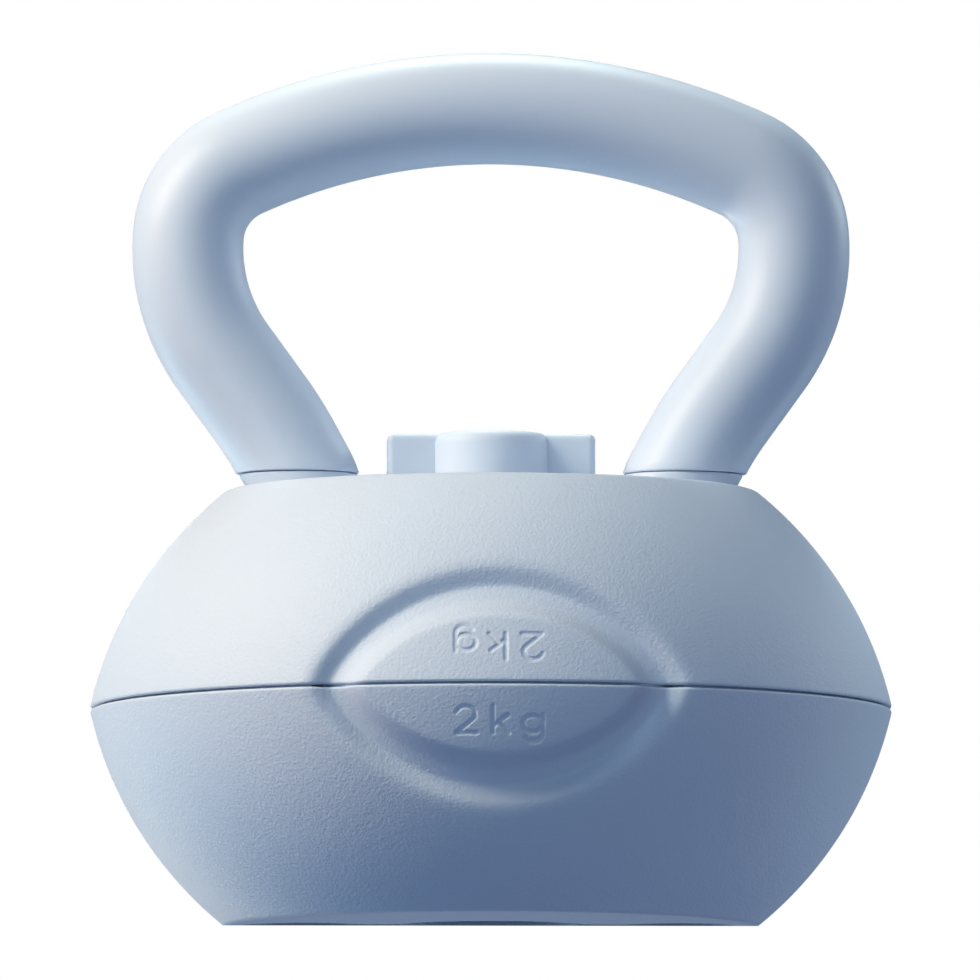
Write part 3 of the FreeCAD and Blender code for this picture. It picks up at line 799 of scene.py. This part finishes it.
class Finish:
    """The node tree of one material."""

    def __init__(self, name):
        self.material = bpy.data.materials.new(name)
        self.material.use_nodes = True
        self.tree = self.material.node_tree
        self.tree.nodes.clear()
        self.place = self.node("ShaderNodeTexCoord", output="Object")

    def node(self, kind, settings=None, inputs=None, output=0):
        """Adds a node, sets it up, feeds its sockets with numbers or signals, gives one output."""
        node = self.tree.nodes.new(kind)
        for key, value in (settings or {}).items():
            if key == "stops":
                self.set_stops(node, value)
            else:
                setattr(node, key, value)
        for key, value in (inputs or {}).items():
            if isinstance(value, Signal):
                self.tree.links.new(value.socket, node.inputs[key])
            else:
                node.inputs[key].default_value = value
        return Signal(self, node.outputs[output])

    def set_stops(self, node, stops):
        """Gives a colour ramp its stops: pairs of place and grey level."""
        ramp = node.color_ramp
        while len(ramp.elements) < len(stops):
            ramp.elements.new(1.0)
        for element, (place, grey) in zip(ramp.elements, stops):
            element.position = place
            element.color = (grey, grey, grey, 1.0)

    def noise(self, size, detail=3.0, roughness=0.55):
        """Cloudy noise from 0 to 1 whose patches are about size across."""
        inputs = {"Vector": self.place, "Scale": 1 / size, "Detail": detail, "Roughness": roughness}
        return self.node("ShaderNodeTexNoise", None, inputs)

    def cells(self, size, feature="SMOOTH_F1"):
        """Pebbly cells about size across, rising from 0 at each cell's middle."""
        inputs = {"Vector": self.place, "Scale": 1 / size}
        return self.node("ShaderNodeTexVoronoi", {"feature": feature}, inputs, "Distance")

    def ramp(self, value, stops):
        """Grey level for a value, by the stops of a colour ramp."""
        return self.node("ShaderNodeValToRGB", {"stops": stops}, {"Fac": value})

    def blend(self, share, first, second):
        """Colour between the first and the second, by a share from 0 to 1."""
        settings = {"data_type": "RGBA"}
        return self.node("ShaderNodeMix", settings, {0: share, 6: first, 7: second}, 2)

    def level(self):
        """Height above the ground."""
        return self.node("ShaderNodeSeparateXYZ", None, {0: self.place}, "Z")

    def bump(self, height, distance):
        """Normal of a surface raised by height times distance."""
        return self.node("ShaderNodeBump", None, {"Height": height, "Distance": distance})

    def surface(self, colour, roughness, normal, constants=None):
        """Ends the tree with a Principled surface and returns the material."""
        inputs = {"Base Color": colour, "Roughness": roughness, "Normal": normal}
        shader = self.node("ShaderNodeBsdfPrincipled", None, {**inputs, **(constants or {})})
        self.node_out(shader)
        return self.material

    def node_out(self, shader):
        """Links a shader to the material's output."""
        out = self.tree.nodes.new("ShaderNodeOutputMaterial")
        self.tree.links.new(shader.socket, out.inputs["Surface"])


def colour(red, green, blue):
    """A colour given as it looks on a screen, 0 to 255, turned into the light it stands for."""
    shown = np.array([red, green, blue]) / 255
    light = np.where(shown <= 0.04045, shown / 12.92, ((shown + 0.055) / 1.055) ** 2.4)
    return (*light.tolist(), 1.0)


def wear(piece, material):
    """Gives a piece its material in every slot it has."""
    slots = piece.data.materials
    if len(slots) == 0:
        slots.append(material)
    for index in range(len(slots)):
        slots[index] = material


# %% [markdown]
# ## Pale plastics
#
# The bowls have the fine leathery grain of a spark-eroded mould, matte to the touch. The handle,
# collars and wing nut are the same pale blue but smoother. Grain is a bump made of small cells
# and noise. A little slow colour drift and a rubbed lower edge keep the surface from looking
# like a paint chip.

# %% Bowl plastic
pale = (205, 216, 232)


def bowl_plastic():
    """Matte pale plastic with a leathery grain."""
    finish = Finish("bowl plastic")
    drift = finish.noise(45 * mm, 2.0)
    speckle = finish.noise(0.5 * mm, 2.0)
    base = finish.blend(drift, colour(203, 215, 231), colour(207, 217, 233))
    base = finish.blend(speckle * 0.12, base, colour(190, 202, 220))
    rub = finish.noise(7 * mm, 4.0)
    edge = finish.ramp(finish.level() * (1 / (4 * mm)), [(0.0, 1.0), (1.0, 0.0)])
    base = finish.blend(edge * rub * 0.35, base, colour(222, 228, 236))
    rough = 0.52 + speckle * 0.08 + rub * 0.05
    pebbles = finish.cells(0.8 * mm)
    fine = finish.noise(0.5 * mm, 3.0)
    waves = finish.noise(9 * mm, 1.0)
    height = pebbles * 1.0 + fine * 1.3 + waves * 0.8
    return finish.surface(base, rough, finish.bump(height, 0.09 * mm))


# %% Smooth plastic
def smooth_plastic(name, tint, roughness):
    """Satin pale plastic with a very fine skin."""
    finish = Finish(name)
    drift = finish.noise(60 * mm, 2.0)
    handled = finish.noise(16 * mm, 4.0, 0.6)
    darker = tuple(part - 4 for part in tint)
    base = finish.blend(drift, colour(*darker), colour(*tint))
    rough = roughness + handled * 0.1
    skin = finish.noise(0.6 * mm, 3.0)
    waves = finish.noise(14 * mm, 1.0)
    height = skin * 0.5 + waves * 1.2
    return finish.surface(base, rough, finish.bump(height, 0.02 * mm))


bowl_finish = bowl_plastic()
handle_finish = smooth_plastic("handle plastic", pale, 0.42)
nut_finish = smooth_plastic("nut plastic", pale, 0.5)
base_finish = smooth_plastic("base plastic", pale, 0.45)
# The clamp plate's dark navy is partly its own guessed colour and partly painted shade that darkens the
# bottom pocket.
plate_and_pocket_shade_finish = smooth_plastic("plate plastic", (32, 40, 58), 0.5)
lid_finish = smooth_plastic("lid plastic", (196, 207, 224), 0.5)
for piece in (lower_bowl, upper_bowl):
    wear(piece, bowl_finish)
for piece in (grip, right_collar, left_collar):
    wear(piece, handle_finish)

# %% [markdown]
# ## Metals, fill and soft washer
#
# These pieces hide inside until the kettlebell is taken apart, yet each has its own look: bright
# zinc on screws, nuts and washers, duller drawn steel on the handle's core, brass in the wing
# nut, sandy cement in the bowls and black rubber under the wing nut.

# %% Metals
def metal(name, tint, dull, roughness, grain):
    """Metal whose tone and gloss wander, with fine marks of a given size."""
    finish = Finish(name)
    cloud = finish.noise(6 * mm, 4.0)
    marks = finish.noise(grain, 5.0, 0.7)
    base = finish.blend(cloud, colour(*tint), colour(*dull))
    rough = roughness + marks * 0.2
    normal = finish.bump(marks + cloud * 0.5, 0.02 * mm)
    return finish.surface(base, rough, normal, {"Metallic": 1.0})


zinc_finish = metal("zinc plate", (205, 209, 214), (176, 184, 196), 0.22, 0.7 * mm)
tube_finish = metal("drawn steel", (150, 150, 152), (118, 116, 116), 0.35, 1.2 * mm)
brass_finish = metal("brass", (214, 178, 104), (186, 146, 78), 0.25, 0.8 * mm)


# %% Fill and rubber
def cement():
    """Rough grey cement with sand grains and small air holes, darkened inside by painted shade."""
    finish = Finish("sand cement")
    grains = finish.cells(1.1 * mm, "F1")
    cloud = finish.noise(18 * mm, 5.0)
    holes = finish.ramp(finish.cells(7 * mm, "F1"), [(0.0, 1.0), (0.12, 0.0)])
    base = finish.blend(cloud, colour(150, 147, 140), colour(118, 115, 110))
    base = finish.blend(grains * 0.5, base, colour(176, 170, 158))
    # The air holes' dark colour is painted shade inside them; the bump below presses them in.
    base = finish.blend(holes, base, colour(70, 68, 66))
    height = grains * 0.5 + cloud - holes * 2.0
    return finish.surface(base, 0.88 + grains * 0.08, finish.bump(height, 0.35 * mm))


def rubber():
    """Black rubber with a dusty bloom."""
    finish = Finish("soft rubber")
    bloom = finish.noise(4 * mm, 4.0)
    base = finish.blend(bloom, colour(34, 35, 38), colour(56, 57, 60))
    skin = finish.noise(0.4 * mm, 2.0)
    return finish.surface(base, 0.65 + bloom * 0.15, finish.bump(skin, 0.03 * mm))


cement_finish = cement()
rubber_finish = rubber()

# %% Dress the CAD solids that stay
node_finishes = {
    "lower_fill": cement_finish,
    "upper_fill": cement_finish,
    "lower_lid": lid_finish,
    "upper_lid": lid_finish,
    "lower_lid_screws": zinc_finish,
    "upper_lid_screws": zinc_finish,
    "clamp_plate": plate_and_pocket_shade_finish,
    "rod_washer": zinc_finish,
    "rod_nut": zinc_finish,
    "handle_base": base_finish,
    "handle_core": tube_finish,
    "foot_stud_right": zinc_finish,
    "foot_stud_left": zinc_finish,
    "handle_washers": zinc_finish,
    "handle_nuts": zinc_finish,
    "friction_washer": rubber_finish,
    "pressure_washer": zinc_finish,
    "wing_nut": nut_finish,
    "wing_nut_insert": brass_finish,
    "wing_nut_cap": nut_finish,
}
wear(rod, zinc_finish)
for name, material in node_finishes.items():
    wear(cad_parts[name], material)
print("dressed", len(node_finishes), "CAD solids")

# %% [markdown]
# ## Stage
#
# The kettlebell stands in plain white. The camera is slightly lower than the base, so the floor is
# one-sided: it shows its pale top to a camera above it. From below it shows only behind the
# kettlebell's middle, like the edge of a shelf. It sends no light back up, so the lower bowl
# stays shaded.

# %% Floor
floor_half = 3.0
floor_level = -0.02 * mm
fade_reach = 1.4
under_edge = -6.0 * mm


def floor_material():
    """Pale floor that fades out with distance and is clear from below in front of the middle."""
    finish = Finish("floor")
    distance = finish.node("ShaderNodeVectorMath", {"operation": "LENGTH"}, {0: finish.place}, "Value")
    fade = finish.ramp(distance * (1 / fade_reach), [(0.25, 0.0), (1.0, 1.0)])
    top = finish.node("ShaderNodeBsdfDiffuse", None, {"Color": (0.82, 0.82, 0.83, 1.0)})
    clear = finish.node("ShaderNodeBsdfTransparent")
    pale_top = finish.node("ShaderNodeMixShader", None, {0: fade, 1: top, 2: clear})
    white = finish.node("ShaderNodeEmission", None, {"Color": (1.0, 1.0, 1.0, 1.0)})
    depth = finish.node("ShaderNodeSeparateXYZ", None, {0: finish.place}, "Y")
    behind = depth.math("GREATER_THAN", depth, under_edge)
    under = finish.node("ShaderNodeMixShader", None, {0: behind, 1: clear, 2: white})
    facing = finish.node("ShaderNodeNewGeometry", None, None, "Backfacing")
    seen = finish.node("ShaderNodeMixShader", None, {0: facing, 1: pale_top, 2: under})
    camera_ray = finish.node("ShaderNodeLightPath", None, None, "Is Camera Ray")
    finish.node_out(finish.node("ShaderNodeMixShader", None, {0: camera_ray, 1: clear, 2: seen}))
    return finish.material


floor_points = np.array([
    (-floor_half, -floor_half, floor_level),
    (floor_half, -floor_half, floor_level),
    (floor_half, floor_half, floor_level),
    (-floor_half, floor_half, floor_level),
])
floor = add_piece("floor", floor_points, [np.array([[0, 1, 2, 3]])])
wear(floor, floor_material())

# %% Sky
ground_glow = (0.126, 0.168, 0.300, 1.0)


def studio_world():
    """Bluish glow that grows towards straight down, and a plain white backdrop for the camera."""
    world = bpy.data.worlds.new("studio")
    world.use_nodes = True
    tree = world.node_tree
    tree.nodes.clear()
    place = tree.nodes.new("ShaderNodeTexCoord")
    split = tree.nodes.new("ShaderNodeSeparateXYZ")
    share = tree.nodes.new("ShaderNodeMapRange")
    share.inputs["From Min"].default_value = 1.0
    share.inputs["From Max"].default_value = -1.0
    glow = tree.nodes.new("ShaderNodeBackground")
    glow.inputs["Color"].default_value = ground_glow
    backdrop = tree.nodes.new("ShaderNodeBackground")
    backdrop.inputs["Color"].default_value = (1.0, 1.0, 1.0, 1.0)
    path = tree.nodes.new("ShaderNodeLightPath")
    mix = tree.nodes.new("ShaderNodeMixShader")
    out = tree.nodes.new("ShaderNodeOutputWorld")
    tree.links.new(place.outputs["Generated"], split.inputs[0])
    tree.links.new(split.outputs["Z"], share.inputs["Value"])
    tree.links.new(share.outputs["Result"], glow.inputs["Strength"])
    tree.links.new(path.outputs["Is Camera Ray"], mix.inputs[0])
    tree.links.new(glow.outputs[0], mix.inputs[1])
    tree.links.new(backdrop.outputs[0], mix.inputs[2])
    tree.links.new(mix.outputs[0], out.inputs["Surface"])
    return world


bpy.context.scene.world = studio_world()


# %% Lamps
lamp_distance = 1.2
lamp_size = 0.4


def add_lamp(name, azimuth, elevation, power):
    """A soft square lamp aimed at the kettlebell's middle. Azimuth 0 is in front, 90 on the right.

    The power is given for red, green and blue, in watts.
    """
    lamp = bpy.data.lights.new(name, "AREA")
    lamp.shape = "SQUARE"
    lamp.size = lamp_size
    lamp.energy = max(power)
    lamp.color = [part / max(power) for part in power]
    holder = bpy.data.objects.new(name, lamp)
    turn, rise = math.radians(azimuth), math.radians(elevation)
    away = Vector((math.sin(turn) * math.cos(rise), -math.cos(turn) * math.cos(rise), math.sin(rise)))
    holder.location = Vector((0, 0, half_height * 2)) + away * lamp_distance
    holder.rotation_euler = away.to_track_quat("Z", "Y").to_euler()
    holder.visible_camera = False
    bpy.context.scene.collection.objects.link(holder)


lamps = [
    ("key", -60, 38, (9.03, 8.75, 6.86)),
    ("side key", -75, 24, (7.77, 5.94, 4.90)),
    ("front fill", -30, 0, (1.11, 1.76, 2.16)),
    ("right top", 30, 60, (1.94, 2.22, 2.58)),
    ("right fill", 60, 0, (1.01, 1.17, 1.35)),
    ("right rim", 120, 20, (3.00, 3.40, 3.36)),
    ("right low rim", 120, -25, (1.07, 1.46, 1.58)),
    ("back top", 180, 60, (6.46, 7.42, 7.06)),
    ("left back rim", -150, -25, (3.18, 2.87, 2.25)),
    ("left low rim", -120, -25, (1.35, 2.62, 3.01)),
]
for lamp in lamps:
    add_lamp(*lamp)

# %% [markdown]
# ## Camera
#
# A very long lens far away keeps the seam and the handle nearly free of perspective. The camera
# is a little left of the front and a little below the base.

# %% Camera
picture_width = 245 * mm
lens = 880.0
sensor = 36.0
camera_azimuth = -1.2
camera_elevation = -4.4
aim = Vector((-0.25 * mm, 0.0, 109.43 * mm))
camera_data = bpy.data.cameras.new("camera")
camera_data.lens = lens
camera_data.sensor_width = sensor
camera_data.clip_start = 0.1
camera_data.clip_end = 100.0
camera = bpy.data.objects.new("camera", camera_data)
turn, rise = math.radians(camera_azimuth), math.radians(camera_elevation)
back = Vector((math.sin(turn) * math.cos(rise), -math.cos(turn) * math.cos(rise), math.sin(rise)))
camera.location = aim + back * (picture_width * lens / sensor)
camera.rotation_euler = back.to_track_quat("Z", "Y").to_euler()
bpy.context.scene.collection.objects.link(camera)
bpy.context.scene.camera = camera
bpy.context.scene.view_settings.view_transform = "Standard"
